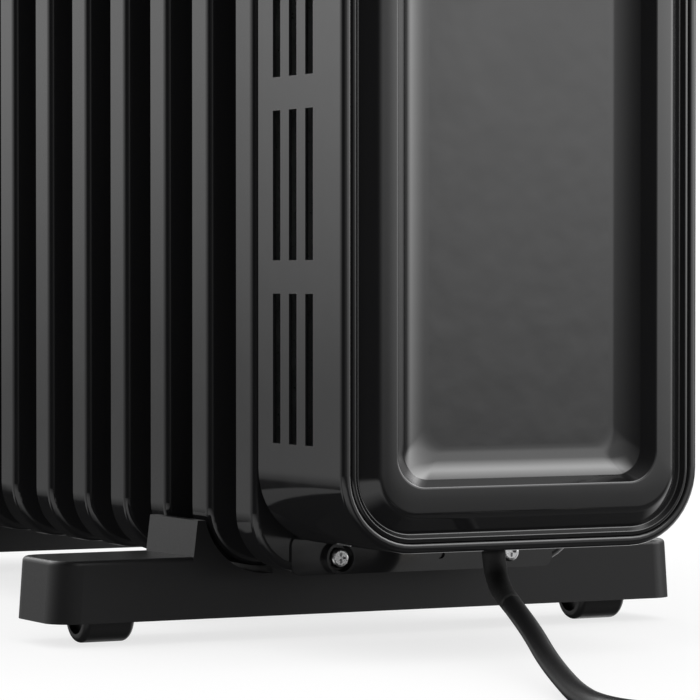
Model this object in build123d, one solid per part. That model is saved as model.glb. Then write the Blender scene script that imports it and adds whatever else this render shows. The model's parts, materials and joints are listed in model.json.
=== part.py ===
from build123d import *
import math
import os

# Oil filled radiator: a row of hollow steel fins on two roller feet, with a vented
# control cover at the near end. X runs across the fins, Y along the row from the cover
# to the far end, Z up from the floor. While modelling, Y = 0 is the seam of the cover's
# face; at the end the row is moved so that Y = 0 is the middle of the whole heater.

# How near two places count as one
CLOSE = 0.01

# Fins
FIN_COUNT = 13
FIN_PITCH = 40.5
FIN_HALF_WIDTH = 76.0
FIN_BOTTOM = 29.5
FIN_CORNER = 24.0
FIN_DEPTH = 15.0
FIN_SKIN = 1.6
FIN_RIM = 1.2
FIN_EDGE = 3.0
OIL_HALF_WIDTH = 30.0
OIL_END = 30.0
OIL_CORNER = 22.0

# Hubs that join the fins
HUB_EDGE = 16.5
COLLAR_RADIUS = 22.0
HUB_BORE = 17.0
CAP_LENGTH = 6.0
CAP_NECK = 8.0

# Heating element
ELEMENT_RADIUS = 4.25
ELEMENT_BEND = 8.0
ELEMENT_END_GAP = 45.0
ELEMENT_STUB = 9.0
FLANGE_LENGTH = 5.0
GASKET_LENGTH = 1.5

# Control cover
COVER_HALF_WIDTH = 78.5
COVER_LIFT = 12.5
COVER_TOP = 610.0
COVER_RISE = 12.0
COVER_CORNER = 30.0
COVER_BACK = 69.8
COVER_GAP = 10.0
COVER_WALL = 1.2
RIM_FRONT = -1.0
RIM_WIDTH = 4.0
RIM_OUTER_ROUND = 2.2
RIM_INNER_ROUND = 1.1
BACK_LIP = 10.0
COLLAR_GAP = 0.5
SHIELD_SHEET = 1.2

# Vent slots in the cover's side walls
SLOT_WIDTH = 6.4
SLOT_HEIGHT = 57.7
SLOT_PITCH = 13.8
SLOT_ROW_PITCH = 70.55
SLOT_COLUMNS = 3
SLOT_FIRST_Y = 26.3
SLOT_RISE = 40.4

# Pressed face panel
PANEL_SHEET = 1.2
BEAD_FRONT = -0.9
BEAD_ROUND = 1.1
BEAD_FLAT = 1.7
GROOVE_WIDTH = 1.9
GROOVE_FLOOR = 0.6
SHOULDER_WIDTH = 6.4
RING_FRONT = -4.8
RING_SIDE = 6.7
RING_END = 11.2
RING_ROUND = 3.5
RECESS_CORNER = 12.0
RAMP_SIDE = 12.6
RAMP_END = 10.7
RECESS_FLOOR = 2.6
FLOOR_CORNER = 6.5
FLOOR_ROUND = 7.0

# Controls
PLATE_INSET = 37.5
PLATE_DROP = 42.0
PLATE_HEIGHT = 136.0
PLATE_CORNER = 8.0
PLATE_DEPTH = 2.6
SELECTOR_DROP = 31.0
LENS_DROP = 68.0
THERMOSTAT_DROP = 105.0
LENS_RADIUS = 4.0
LENS_DEPTH = 7.0
KNOB_RADIUS = 22.0
KNOB_DEPTH = 18.0
KNOB_GAP = 0.6
KNOB_ROUND = 1.6
POINTER_WIDTH = 2.4
POINTER_HEIGHT = 0.6
SHAFT_RADIUS = 3.0
SHAFT_FIT = 0.05
SHAFT_IN_KNOB = 12.0
SHAFT_IN_BODY = 14.0
SHAFT_CLEARANCE = 1.0
SWITCH_HALF_WIDTH = 18.0
SWITCH_HEIGHT = 30.0
SWITCH_DEPTH = 26.0

# Carry handle
HANDLE_SIDE_GAP = 0.5
HANDLE_HEIGHT = 44.0
HANDLE_DEPTH = 26.0
HANDLE_Y = 35.0
HANDLE_CORNER = 15.0
HANDLE_POST = 12.0
HANDLE_BASE = 4.0
HANDLE_GRIP = 14.0
HANDLE_ROUND = 3.0

# Screws
SCREW_RADIUS = 2.0
SCREW_HEAD_RADIUS = 4.0
SCREW_HEAD_DEPTH = 2.6
CROSS_WIDTH = 1.0
CROSS_LENGTH = 4.4
CROSS_DEPTH = 1.4

# Bracket under the cover
BRACKET_HALF_WIDTH = 59.5
BRACKET_DROP = 0.9
BRACKET_SHEET = 1.2
BRACKET_CORNER = 4.0
LEDGE_SIDE_GAP = 4.5
LEDGE_FRONT = 24.0
BRACKET_SCREW_X = 39.0
BRACKET_SCREW_RISE = 5.7
BRACKET_SCREW_LENGTH = 8.0
CUP_RADIUS = 6.5
CUP_WALL = 1.0
CUP_DEPTH = 3.0
SPARE_HOLE_X = 7.5
SPARE_HOLE_RADIUS = 2.0

# Feet
FOOT_LENGTH = 289.0
FOOT_LAP = 5.2
FOOT_OFFSET = 8.4
FOOT_CLEARANCE = 0.2
FOOT_RISE = 5.0
FOOT_DRAFT = 1.8
FOOT_CORNER = 11.0
FOOT_ROUND = 2.0
FOOT_WALL = 2.5
CRADLE_GAP = 3.4
CRADLE_DROP = 2.6
EAR_RISE = 14.5
EAR_WALL = 4.8
EAR_DRAFT = 1.8
PAD_X = 45.0
PAD_WIDTH = 8.0

# Rollers
ROLLER_INSET = 29.5
ROLLER_LENGTH = 22.0
ROLLER_RADIUS = 11.2
ROLLER_ROUND = 2.5
ROLLER_DISH = 3.0
ROLLER_RIM = 2.0
ROLLER_SIDE_GAP = 0.4
ROLLER_POCKET_GAP = 2.0
AXLE_RADIUS = 1.5
AXLE_FIT = 0.05
RIB = 3.0
SNAP_GRIP = 0.6

# U-bolts that clamp the feet to the bottom hubs
BOLT_RADIUS = 3.0
BOLT_GAP = 0.1
BOLT_HOLE = 3.3
BOLT_END_GAP = 4.5
NUT_RADIUS = 7.0
NUT_HEIGHT = 6.0
WING_LENGTH = 9.0
WING_SHEET = 2.4
WING_DROP = 2.0

# Parts inside the cover
TERMINAL_SIZE = (40.0, 16.0, 14.0)
TERMINAL_Z = 150.0
TILT_SIZE = (24.0, 14.0, 30.0)
TILT_X = 45.0
TILT_Z = 250.0
CUTOUT_RADIUS = 8.0
CUTOUT_LENGTH = 7.0
CUTOUT_Z = 112.0
WIRE_RADIUS = 1.2
WIRE_ROOT = 2.6
WIRE_SPREAD = 10.0

# Power cord
CORD_RADIUS = 4.0
CORD_LIFT = 0.1
GLAND_X = 7.5
GLAND_Y = 36.0
GLAND_WALL = 1.5
GLAND_LIP = 1.5
GLAND_DROP = 2.0
GLAND_RISE = 2.0
CLAMP_SIZE = (24.0, 16.0, 10.0)
COIL_X = 50.0
COIL_Y = -195.0
COIL_TURN = 48.0
COIL_TURNS_ACROSS = 3
COIL_LAYERS = 2
COIL_SLACK = 1.0
COIL_LAYER_SLACK = 0.6
LEAD_IN = 42.0
LEAD_OUT = 60.0
ARC_SHARE = 0.45
TIE_WIDTH = 6.0
TIE_SHEET = 1.2
PLUG_LENGTH = 22.0
PLUG_WIDTH = 31.0
PLUG_HEIGHT = 18.0
PLUG_CORNER = 8.0
PLUG_NECK_LENGTH = 16.0
PLUG_NECK_WIDTH = 12.0
PLUG_NECK_CORNER = 3.5
PIN_RADIUS = 2.4
PIN_LENGTH = 19.0
PIN_ROOT = 10.0
PIN_ROOT_RADIUS = 1.9
PIN_SPACING = 19.0

# Heights of the fins and the cover
COVER_BOTTOM = FIN_BOTTOM + COVER_LIFT
FIN_TOP = COVER_TOP - COVER_RISE
HUB_LOW = FIN_BOTTOM + HUB_EDGE + COLLAR_RADIUS
HUB_HIGH = FIN_TOP - HUB_EDGE - COLLAR_RADIUS

# Places along the row
FIN_FIRST_Y = COVER_BACK + COVER_GAP + FIN_DEPTH / 2
FIN_LAST_Y = FIN_FIRST_Y + FIN_PITCH * (FIN_COUNT - 1)
FIN_FRONT = FIN_FIRST_Y - FIN_DEPTH / 2
ROW_BACK = FIN_LAST_Y + FIN_DEPTH / 2
ROW_MIDDLE = (FIN_FIRST_Y + FIN_LAST_Y) / 2
SHIELD_BACK = COVER_BACK - COVER_WALL
SHIELD_FRONT = SHIELD_BACK - SHIELD_SHEET

# The vent slots fill the wall's height
SLOT_FIRST_Z = COVER_BOTTOM + SLOT_RISE
SLOT_ROWS = int((COVER_TOP - COVER_CORNER - SLOT_FIRST_Z - SLOT_HEIGHT) // SLOT_ROW_PITCH) + 1

# Controls, measured down from the cover's top
PLATE_HALF_WIDTH = COVER_HALF_WIDTH - PLATE_INSET
PLATE_TOP = COVER_TOP - PLATE_DROP
PLATE_BOTTOM = PLATE_TOP - PLATE_HEIGHT
PLATE_FRONT = RECESS_FLOOR - PLATE_DEPTH
SELECTOR_Z = PLATE_TOP - SELECTOR_DROP
LENS_Z = PLATE_TOP - LENS_DROP
THERMOSTAT_Z = PLATE_TOP - THERMOSTAT_DROP
SWITCH_FRONT = RECESS_FLOOR + PANEL_SHEET
SHAFT_HOLE = SHAFT_RADIUS + SHAFT_CLEARANCE
HANDLE_HALF_WIDTH = COVER_HALF_WIDTH - COVER_CORNER - HANDLE_SIDE_GAP

# Bracket
BRACKET_BOTTOM = FIN_BOTTOM - BRACKET_DROP
BRACKET_SCREW_Z = FIN_BOTTOM + BRACKET_SCREW_RISE
LEDGE_HALF_WIDTH = COVER_HALF_WIDTH - COVER_CORNER - LEDGE_SIDE_GAP
LEDGE_BOTTOM = COVER_BOTTOM + COVER_WALL
LEDGE_TOP = LEDGE_BOTTOM + BRACKET_SHEET

# Feet: each reaches from the second fin from its end of the row to the third
BOLT_Y = FIN_FIRST_Y + FIN_PITCH + FIN_PITCH / 2
BOLT_REAR_Y = 2 * ROW_MIDDLE - BOLT_Y
BOLT_ARC = COLLAR_RADIUS + BOLT_GAP + BOLT_RADIUS
FOOT_DEPTH = FIN_PITCH + FOOT_LAP
FOOT_Y = BOLT_Y - FOOT_OFFSET
FOOT_REAR_Y = 2 * ROW_MIDDLE - FOOT_Y
FOOT_BOTTOM = ROLLER_RADIUS - AXLE_RADIUS - FOOT_CLEARANCE
FOOT_TOP = FIN_BOTTOM + FOOT_RISE
BOLT_END = FOOT_BOTTOM + BOLT_END_GAP
CRADLE_FLOOR = FIN_BOTTOM - CRADLE_DROP
DECK_BOTTOM = CRADLE_FLOOR - FOOT_WALL
EAR_OUTER = FIN_HALF_WIDTH + CRADLE_GAP + EAR_WALL
EAR_TOP = FOOT_TOP + EAR_RISE
ROLLER_X = FOOT_LENGTH / 2 - ROLLER_INSET
SNAP_WIDTH = 2 * AXLE_RADIUS - SNAP_GRIP

# Cord, gland and coil
CORD_FLOOR = CORD_RADIUS + CORD_LIFT
GLAND_NECK = CORD_RADIUS + GLAND_WALL
GLAND_FLANGE = GLAND_NECK + GLAND_LIP
COIL_BUNDLE = 2 * CORD_RADIUS * COIL_TURNS_ACROSS + COIL_SLACK
COIL_HEIGHT = 2 * CORD_RADIUS * COIL_LAYERS + COIL_LAYER_SLACK
COIL_OUTER = COIL_TURN + CORD_RADIUS + COIL_SLACK
LEAD_Y = COIL_Y - COIL_TURN

# The cord's route from the gland to the coil, chosen by hand, one point a bend
CORD_ROUTE = (
    (GLAND_X, GLAND_Y, COVER_BOTTOM - GLAND_DROP),
    (7.5, 36.0, 33.0),
    (5.6, 30.8, 26.6),
    (0.5, 16.5, 23.6),
    (-8.0, -10.0, 19.2),
    (-20.0, -42.0, 14.2),
    (-34.5, -79.0, 8.6),
    (-49.0, -118.0, CORD_FLOOR),
    (-62.0, -149.0, CORD_FLOOR),
    (-76.0, -186.0, CORD_FLOOR),
    (-72.8, -210.3, CORD_FLOOR),
    (-58.7, -230.4, CORD_FLOOR),
    (-37.0, -241.7, CORD_FLOOR),
    (-14.5, LEAD_Y, CORD_FLOOR),
    (COIL_X - LEAD_IN, LEAD_Y, CORD_FLOOR),
)


def across(y):
    """The upright plane at this Y, seen from the front, with X to the right and Z up."""
    return Plane(origin=(0, y, 0), x_dir=(1, 0, 0), z_dir=(0, -1, 0))


def outline(half_width, low, high, radius):
    """A rounded rectangle, centred across X, between two heights."""
    return Pos(0, (low + high) / 2) * RectangleRounded(2 * half_width, high - low, radius)


def slab(sketch, front, back):
    """A solid with this outline between two places along Y."""
    return extrude(across(back) * sketch, amount=back - front)


def flare(front_sketch, front, back_sketch, back):
    """A solid that goes straight from one outline to another along Y."""
    return loft([across(front) * front_sketch, across(back) * back_sketch], ruled=True)


def block(x0, x1, y0, y1, z0, z1):
    """A plain box between two corners."""
    return Pos((x0 + x1) / 2, (y0 + y1) / 2, (z0 + z1) / 2) * Box(x1 - x0, y1 - y0, z1 - z0)


def rod_x(x0, x1, y, z, radius):
    """A round bar along X."""
    return Pos((x0 + x1) / 2, y, z) * Rot(0, 90, 0) * Cylinder(radius, x1 - x0)


def rod_y(x, y0, y1, z, radius):
    """A round bar along Y."""
    return Pos(x, (y0 + y1) / 2, z) * Rot(90, 0, 0) * Cylinder(radius, y1 - y0)


def rod_z(x, y, z0, z1, radius):
    """A round bar along Z."""
    return Pos(x, y, (z0 + z1) / 2) * Cylinder(radius, z1 - z0)


def edges_at(solid, y):
    """Every edge that lies flat at this Y."""
    return [
        edge
        for edge in solid.edges()
        if abs(edge.center().Y - y) < CLOSE and edge.bounding_box().size.Y < CLOSE
    ]


def make_fin(y):
    """One fin: a shallow tray with a rolled edge and a hollow oil body down its middle."""
    front = y - FIN_DEPTH / 2
    back = y + FIN_DEPTH / 2
    tray = slab(outline(FIN_HALF_WIDTH, FIN_BOTTOM, FIN_TOP, FIN_CORNER), front, back)
    tray = fillet(edges_at(tray, front), FIN_EDGE)
    inside = outline(
        FIN_HALF_WIDTH - FIN_RIM, FIN_BOTTOM + FIN_RIM, FIN_TOP - FIN_RIM, FIN_CORNER - FIN_RIM
    )
    pocket = slab(inside, front + FIN_SKIN, back)
    pocket = fillet(edges_at(pocket, front + FIN_SKIN), FIN_EDGE - FIN_RIM)
    oil_body = outline(OIL_HALF_WIDTH, HUB_LOW - OIL_END, HUB_HIGH + OIL_END, OIL_CORNER)
    oil_space = outline(
        OIL_HALF_WIDTH - FIN_RIM,
        HUB_LOW - OIL_END + FIN_RIM,
        HUB_HIGH + OIL_END - FIN_RIM,
        OIL_CORNER - FIN_RIM,
    )
    fin = tray - pocket + slab(oil_body, front, back)
    fin -= slab(oil_space, front + FIN_SKIN, back - FIN_SKIN)
    for hub in (HUB_LOW, HUB_HIGH):
        fin -= rod_y(0, front, back, hub, HUB_BORE)
    return fin


def make_first_fin():
    """The fin behind the cover, with holes for the bracket's screws."""
    fin = make_fin(FIN_FIRST_Y)
    for side in (-1, 1):
        x = side * BRACKET_SCREW_X
        fin -= rod_y(x, FIN_FRONT, FIN_FRONT + FIN_SKIN, BRACKET_SCREW_Z, SCREW_RADIUS)
    return fin


def make_collars(hub):
    """The welded rings that join the fins at one hub, with one ahead of the first fin."""
    starts = [SHIELD_BACK] + [
        FIN_FIRST_Y + FIN_PITCH * i + FIN_DEPTH / 2 for i in range(FIN_COUNT - 1)
    ]
    ends = [FIN_FRONT + FIN_PITCH * i for i in range(FIN_COUNT)]
    rings = [
        rod_y(0, start, end, hub, COLLAR_RADIUS) - rod_y(0, start, end, hub, HUB_BORE)
        for start, end in zip(starts, ends)
    ]
    return Compound(rings)


def make_rear_cap(hub):
    """A pressed cap that closes one hub at the far end of the row."""
    head = rod_y(0, ROW_BACK, ROW_BACK + CAP_LENGTH, hub, COLLAR_RADIUS)
    head = fillet(edges_at(head, ROW_BACK + CAP_LENGTH), CAP_LENGTH / 2)
    return head + rod_y(0, ROW_BACK - FIN_SKIN, ROW_BACK, hub, HUB_BORE)


def make_top_plug():
    """The oil filling plug, whose head clamps the heat shield to the top hub."""
    hexagon = Pos(0, HUB_HIGH) * RegularPolygon(COLLAR_RADIUS, side_count=6)
    head = slab(hexagon, SHIELD_FRONT - CAP_LENGTH, SHIELD_FRONT)
    return head + rod_y(0, SHIELD_FRONT, SHIELD_BACK + CAP_NECK, HUB_HIGH, HUB_BORE)


def element_legs(front, back, radius):
    """The element's two straight legs between two places along Y."""
    return [rod_y(side * ELEMENT_BEND, front, back, HUB_LOW, radius) for side in (-1, 1)]


def make_element():
    """The sheathed heating element, a long hairpin lying in the bottom hubs."""
    front = SHIELD_BACK - GASKET_LENGTH - FLANGE_LENGTH - ELEMENT_STUB
    bend = ROW_BACK - ELEMENT_END_GAP
    turn = CenterArc((0, 0, 0), ELEMENT_BEND, 0, 180)
    ring = Pos(0, bend, HUB_LOW) * sweep(
        Plane(origin=(ELEMENT_BEND, 0, 0), z_dir=(0, 1, 0)) * Circle(ELEMENT_RADIUS), path=turn
    )
    near, far = element_legs(front, bend, ELEMENT_RADIUS)
    return near + ring + far


def make_element_flange():
    """The round flange that the element is brazed into."""
    back = SHIELD_BACK - GASKET_LENGTH
    flange = rod_y(0, back - FLANGE_LENGTH, back, HUB_LOW, COLLAR_RADIUS)
    return flange - element_legs(back - FLANGE_LENGTH, back, ELEMENT_RADIUS)


def make_gasket():
    """The flat ring that seals the flange on the bottom hub."""
    front = SHIELD_BACK - GASKET_LENGTH
    ring = rod_y(0, front, SHIELD_BACK, HUB_LOW, COLLAR_RADIUS)
    return ring - rod_y(0, front, SHIELD_BACK, HUB_LOW, HUB_BORE)


def cover_outline(inset):
    """The cover's outline, moved in by this much all round."""
    return outline(
        COVER_HALF_WIDTH - inset, COVER_BOTTOM + inset, COVER_TOP - inset, COVER_CORNER - inset
    )


def make_heat_shield():
    """The plate that closes the cover's back and hangs on the top hub."""
    sheet = slab(cover_outline(COVER_WALL), SHIELD_FRONT, SHIELD_BACK)
    sheet -= block(
        -LEDGE_HALF_WIDTH, LEDGE_HALF_WIDTH, SHIELD_FRONT, SHIELD_BACK, COVER_BOTTOM, LEDGE_TOP
    )
    sheet -= rod_y(0, SHIELD_FRONT, SHIELD_BACK, HUB_LOW, COLLAR_RADIUS + SHIELD_SHEET)
    return sheet - rod_y(0, SHIELD_FRONT, SHIELD_BACK, HUB_HIGH, HUB_BORE)


def vent_slots():
    """Every slot cut in the two side walls, in rows up each wall."""
    slots = []
    for side in (-1, 1):
        for column in range(SLOT_COLUMNS):
            for row in range(SLOT_ROWS):
                y = SLOT_FIRST_Y + column * SLOT_PITCH
                z = SLOT_FIRST_Z + row * SLOT_ROW_PITCH + SLOT_HEIGHT / 2
                slots.append(
                    Pos(side * COVER_HALF_WIDTH, y, z) * Box(3 * COVER_WALL, SLOT_WIDTH, SLOT_HEIGHT)
                )
    return slots


def handle_screw_places():
    """Where the two handle screws stand, across X."""
    return [side * (HANDLE_HALF_WIDTH - HANDLE_POST / 2) for side in (-1, 1)]


def make_housing():
    """The vented sheet steel wrap of the cover, with a rolled front rim and a back lip."""
    wrap = slab(cover_outline(0), RIM_FRONT, COVER_BACK)
    wrap = fillet(edges_at(wrap, RIM_FRONT), RIM_OUTER_ROUND)
    wrap -= slab(cover_outline(COVER_WALL), RIM_FRONT + COVER_WALL, SHIELD_BACK)
    wrap -= slab(cover_outline(RIM_WIDTH), RIM_FRONT, RIM_FRONT + COVER_WALL)
    inner_edges = [
        edge
        for edge in edges_at(wrap, RIM_FRONT)
        if edge.bounding_box().max.X <= COVER_HALF_WIDTH - RIM_WIDTH + CLOSE
        and edge.bounding_box().min.X >= RIM_WIDTH - COVER_HALF_WIDTH - CLOSE
        and edge.bounding_box().min.Z >= COVER_BOTTOM + RIM_WIDTH - CLOSE
        and edge.bounding_box().max.Z <= COVER_TOP - RIM_WIDTH + CLOSE
    ]
    wrap = fillet(inner_edges, RIM_INNER_ROUND)
    wrap -= slab(cover_outline(BACK_LIP), SHIELD_BACK, COVER_BACK)
    wrap -= rod_y(0, SHIELD_BACK, COVER_BACK, HUB_LOW, COLLAR_RADIUS + COLLAR_GAP)
    wrap -= vent_slots()
    wrap -= rod_z(GLAND_X, GLAND_Y, COVER_BOTTOM, LEDGE_BOTTOM, GLAND_NECK)
    for x in handle_screw_places():
        wrap -= rod_z(x, HANDLE_Y, COVER_TOP - COVER_WALL, COVER_TOP, SCREW_RADIUS)
    # The bracket's ledge leaves through a notch in the back lip.
    notch = block(
        -LEDGE_HALF_WIDTH, LEDGE_HALF_WIDTH, SHIELD_BACK, COVER_BACK, LEDGE_BOTTOM, LEDGE_TOP
    )
    return wrap - notch


def panel_outline(side, end, corner):
    """An outline on the face panel, by its distance from the cover's sides and ends."""
    return outline(COVER_HALF_WIDTH - side, COVER_BOTTOM + end, COVER_TOP - end, corner)


def panel_skin():
    """A solid whose front is the pressed face, reaching back past its recess."""
    depth = RECESS_FLOOR + 2 * PANEL_SHEET
    bead = RIM_WIDTH + BEAD_FLAT
    groove = bead + GROOVE_WIDTH
    ring = groove + SHOULDER_WIDTH
    skin = slab(cover_outline(RIM_WIDTH), BEAD_FRONT, depth)
    skin = fillet(edges_at(skin, BEAD_FRONT), BEAD_ROUND)
    skin -= flare(cover_outline(bead), BEAD_FRONT, cover_outline(groove), GROOVE_FLOOR)
    skin += flare(cover_outline(ring), RING_FRONT, cover_outline(groove), GROOVE_FLOOR)
    mouth = panel_outline(ring + RING_SIDE, ring + RING_END, RECESS_CORNER)
    floor = panel_outline(
        ring + RING_SIDE + RAMP_SIDE, ring + RING_END + RAMP_END, FLOOR_CORNER
    )
    skin -= flare(mouth, RING_FRONT, floor, RECESS_FLOOR)
    skin = fillet(edges_at(skin, RING_FRONT), RING_ROUND)
    return fillet(edges_at(skin, RECESS_FLOOR), FLOOR_ROUND)


def make_face_panel():
    """The pressed sheet face: bead, shoulder, raised ring and long recess."""
    skin = panel_skin()
    sheet = skin - Pos(0, PANEL_SHEET, 0) * skin
    for z in (THERMOSTAT_Z, SELECTOR_Z):
        sheet -= rod_y(0, RECESS_FLOOR, SWITCH_FRONT, z, SHAFT_HOLE)
    return sheet - rod_y(0, RECESS_FLOOR, SWITCH_FRONT, LENS_Z, LENS_RADIUS)


def make_control_plate():
    """The plate that carries the controls, lying on the recess floor."""
    plate = slab(
        outline(PLATE_HALF_WIDTH, PLATE_BOTTOM, PLATE_TOP, PLATE_CORNER), PLATE_FRONT, RECESS_FLOOR
    )
    plate = fillet(edges_at(plate, PLATE_FRONT), POINTER_HEIGHT)
    for z in (THERMOSTAT_Z, SELECTOR_Z):
        plate -= rod_y(0, PLATE_FRONT, RECESS_FLOOR, z, SHAFT_HOLE)
    return plate - rod_y(0, PLATE_FRONT, RECESS_FLOOR, LENS_Z, LENS_RADIUS)


def make_lens():
    """The pilot lamp's lens, a domed rod through the plate and the panel."""
    front = PLATE_FRONT - POINTER_HEIGHT
    lens = rod_y(0, front, front + LENS_DEPTH, LENS_Z, LENS_RADIUS)
    return fillet(edges_at(lens, front), POINTER_HEIGHT)


def make_knob(z):
    """A round knob with a raised pointer, bored to seat on its shaft."""
    back = PLATE_FRONT - KNOB_GAP
    front = back - KNOB_DEPTH
    knob = flare(
        Pos(0, z) * Circle(KNOB_RADIUS - KNOB_ROUND), front, Pos(0, z) * Circle(KNOB_RADIUS), back
    )
    knob = fillet(edges_at(knob, front), KNOB_ROUND)
    pointer = block(
        -POINTER_WIDTH / 2,
        POINTER_WIDTH / 2,
        front - POINTER_HEIGHT,
        front + POINTER_HEIGHT,
        z,
        z + KNOB_RADIUS - 2 * KNOB_ROUND,
    )
    return knob + pointer - rod_y(0, back - SHAFT_IN_KNOB, back, z, SHAFT_RADIUS)


def make_shaft(z):
    """The steel shaft from a knob through the panel into its switch."""
    start = PLATE_FRONT - KNOB_GAP - SHAFT_IN_KNOB
    return rod_y(0, start, SWITCH_FRONT + SHAFT_IN_BODY - KNOB_GAP, z, SHAFT_RADIUS)


def make_switch(z):
    """A switch body behind the panel, bored as a running fit for its shaft."""
    body = block(
        -SWITCH_HALF_WIDTH,
        SWITCH_HALF_WIDTH,
        SWITCH_FRONT,
        SWITCH_FRONT + SWITCH_DEPTH,
        z - SWITCH_HEIGHT / 2,
        z + SWITCH_HEIGHT / 2,
    )
    bore = rod_y(0, SWITCH_FRONT, SWITCH_FRONT + SHAFT_IN_BODY, z, SHAFT_RADIUS + SHAFT_FIT)
    return body - bore


def make_handle():
    """The carry handle on top of the cover, a grip bar on two posts."""
    top = COVER_TOP + HANDLE_HEIGHT
    front = HANDLE_Y - HANDLE_DEPTH / 2
    back = HANDLE_Y + HANDLE_DEPTH / 2
    hoop = slab(outline(HANDLE_HALF_WIDTH, COVER_TOP - HANDLE_CORNER, top, HANDLE_CORNER), front, back)
    hoop -= block(
        -HANDLE_HALF_WIDTH, HANDLE_HALF_WIDTH, front, back, COVER_TOP - HANDLE_CORNER, COVER_TOP
    )
    gap = outline(
        HANDLE_HALF_WIDTH - HANDLE_POST,
        COVER_TOP + HANDLE_BASE,
        top - HANDLE_GRIP,
        HANDLE_CORNER - HANDLE_ROUND,
    )
    hoop -= slab(gap, front, back)
    rounded = [
        edge
        for y in (front, back)
        for edge in edges_at(hoop, y)
        if edge.center().Z > COVER_TOP + HANDLE_ROUND / 2
    ]
    hoop = fillet(rounded, HANDLE_ROUND)
    for x in handle_screw_places():
        hoop -= rod_z(x, HANDLE_Y, COVER_TOP, COVER_TOP + HANDLE_POST, SCREW_RADIUS)
    return hoop


def make_handle_screws():
    """The two screws that hold the handle from inside the cover."""
    under = COVER_TOP - COVER_WALL
    screws = [
        rod_z(x, HANDLE_Y, under - SCREW_HEAD_DEPTH, under, SCREW_HEAD_RADIUS)
        + rod_z(x, HANDLE_Y, under, COVER_TOP + HANDLE_POST, SCREW_RADIUS)
        for x in handle_screw_places()
    ]
    return Compound(screws)


def make_bracket():
    """The sheet bracket under the cover: a ledge inside it and a plate on the first fin."""
    front = FIN_FRONT - BRACKET_SHEET
    plate = slab(
        outline(BRACKET_HALF_WIDTH, BRACKET_BOTTOM, LEDGE_TOP, BRACKET_CORNER), front, FIN_FRONT
    )
    ledge = block(
        -LEDGE_HALF_WIDTH, LEDGE_HALF_WIDTH, LEDGE_FRONT, FIN_FRONT, LEDGE_BOTTOM, LEDGE_TOP
    )
    bracket = plate + ledge
    bracket += rod_y(-BRACKET_SCREW_X, front - CUP_DEPTH, front, BRACKET_SCREW_Z, CUP_RADIUS)
    bracket -= rod_y(
        -BRACKET_SCREW_X, front - CUP_DEPTH, front, BRACKET_SCREW_Z, CUP_RADIUS - CUP_WALL
    )
    for side in (-1, 1):
        bracket -= rod_y(side * BRACKET_SCREW_X, front, FIN_FRONT, BRACKET_SCREW_Z, SCREW_RADIUS)
    bracket -= rod_y(SPARE_HOLE_X, front, FIN_FRONT, BRACKET_SCREW_Z, SPARE_HOLE_RADIUS)
    return bracket - rod_z(GLAND_X, GLAND_Y, LEDGE_BOTTOM, LEDGE_TOP, GLAND_NECK)


def make_bracket_screw(x):
    """A pan head screw with a cross recess, through the bracket into the first fin."""
    seat = FIN_FRONT - BRACKET_SHEET
    front = seat - SCREW_HEAD_DEPTH
    head = rod_y(x, front, seat, BRACKET_SCREW_Z, SCREW_HEAD_RADIUS)
    head = fillet(edges_at(head, front), SCREW_HEAD_DEPTH / 2)
    cross = [
        Pos(x, front, BRACKET_SCREW_Z) * Box(CROSS_LENGTH, 2 * CROSS_DEPTH, CROSS_WIDTH),
        Pos(x, front, BRACKET_SCREW_Z) * Box(CROSS_WIDTH, 2 * CROSS_DEPTH, CROSS_LENGTH),
    ]
    return head - cross + rod_y(x, seat, seat + BRACKET_SCREW_LENGTH, BRACKET_SCREW_Z, SCREW_RADIUS)


def foot_ear(y0, y1):
    """The raised end of the cradle on the right, before the cradle is cut."""
    inner = FIN_HALF_WIDTH - FIN_CORNER
    section = Polygon(
        (inner, DECK_BOTTOM),
        (EAR_OUTER, DECK_BOTTOM),
        (EAR_OUTER, FOOT_TOP),
        (EAR_OUTER - EAR_DRAFT, EAR_TOP),
        (inner, EAR_TOP),
        align=None,
    )
    return slab(section, y0, y1)


def foot_bar(y):
    """The foot's outer shape: a drafted bar with two ears, and the fins' cradle cut."""
    y0 = y - FOOT_DEPTH / 2
    y1 = y + FOOT_DEPTH / 2
    top_length = FOOT_LENGTH - 2 * FOOT_DRAFT
    low = Pos(0, y, FOOT_BOTTOM) * RectangleRounded(FOOT_LENGTH, FOOT_DEPTH, FOOT_CORNER)
    high = Pos(0, y, FOOT_TOP) * RectangleRounded(top_length, FOOT_DEPTH, FOOT_CORNER)
    bar = loft([low, high], ruled=True)
    top_edges = [edge for edge in bar.edges() if edge.bounding_box().min.Z > FOOT_TOP - CLOSE]
    bar = fillet(top_edges, FOOT_ROUND)
    ear = foot_ear(y0, y1)
    bar = bar + ear + mirror(ear, about=Plane.YZ)
    cradle = outline(
        FIN_HALF_WIDTH + CRADLE_GAP, CRADLE_FLOOR, FIN_TOP, FIN_CORNER + CRADLE_GAP
    )
    return bar - slab(cradle, y0, y1)


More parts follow.
